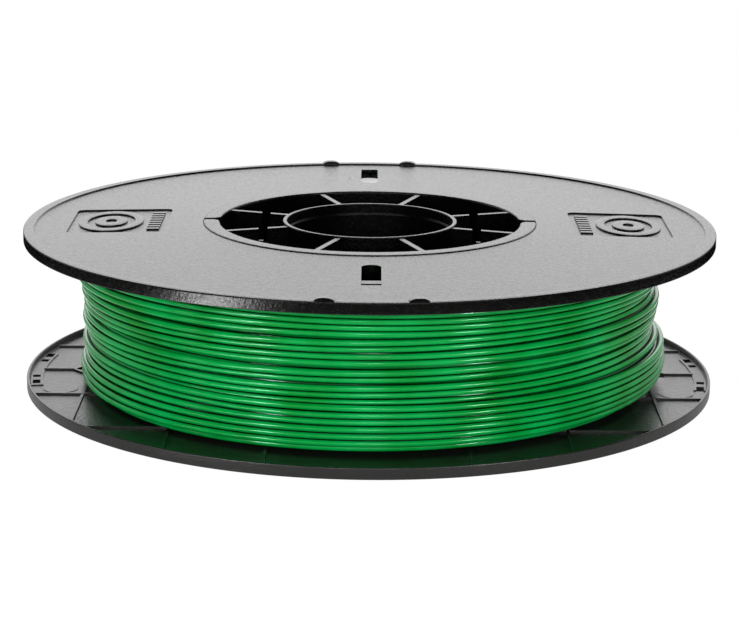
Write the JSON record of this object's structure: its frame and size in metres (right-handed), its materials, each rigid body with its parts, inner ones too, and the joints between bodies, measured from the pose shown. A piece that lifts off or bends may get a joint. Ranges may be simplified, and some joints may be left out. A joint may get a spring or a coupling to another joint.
{
  "type": "filament spool",
  "caption": "Round spool with two thin flanges and a spoked hub with an open bore, wound with green plastic filament.",
  "frame": {"origin": "centre of the spool, where its spin axis crosses its middle plane", "axes": "+Z along the spin axis, out of the upper flange; +X towards the upper flange's recessed panels and the barrel's slits; -Y towards the front"},
  "size_m": [0.2, 0.2, 0.0486],
  "materials": {
    "flange_plastic": "satin black injection-moulded plastic",
    "hub_plastic": "satin black injection-moulded plastic",
    "filament": "glossy green extruded filament"
  },
  "bodies": {
    "lower_hub_half": {"lower_hub_half": "hub_plastic"},
    "lower_flange": {"lower_flange": "flange_plastic"},
    "filament_coil": {"filament_coil": "filament"},
    "filament_free_end": {"filament_free_end": "filament"},
    "upper_flange": {"upper_flange": "flange_plastic"},
    "upper_hub_half": {"upper_hub_half": "hub_plastic"}
  },
  "joints": [
    {"name": "coil_lift", "type": "slide", "parent": "lower_hub_half", "child": "filament_coil", "axis": [0, 0, 1], "range_m": [0, 0.06]},
    {"name": "upper_flange_lift", "type": "slide", "parent": "lower_hub_half", "child": "upper_flange", "axis": [0, 0, 1], "range_m": [0, 0.09]},
    {"name": "upper_hub_lift", "type": "slide", "parent": "lower_hub_half", "child": "upper_hub_half", "axis": [0, 0, 1], "range_m": [0, 0.12]},
    {"name": "lower_flange_lift", "type": "slide", "parent": "lower_hub_half", "child": "lower_flange", "axis": [0, 0, 1], "range_m": [0, 0.03]},
    {"name": "free_end_peel", "type": "hinge", "parent": "filament_coil", "child": "filament_free_end", "pos_m": [-0.02895, 0.07954, -0.008], "axis": [0, 0, 1], "range_deg": [0, 75]}
  ],
  "couplings": [
    {"joint": "upper_flange_lift", "follows": "coil_lift", "ratio": 1.5},
    {"joint": "upper_hub_lift", "follows": "coil_lift", "ratio": 2},
    {"joint": "lower_flange_lift", "follows": "coil_lift", "ratio": 0.5}
  ]
}
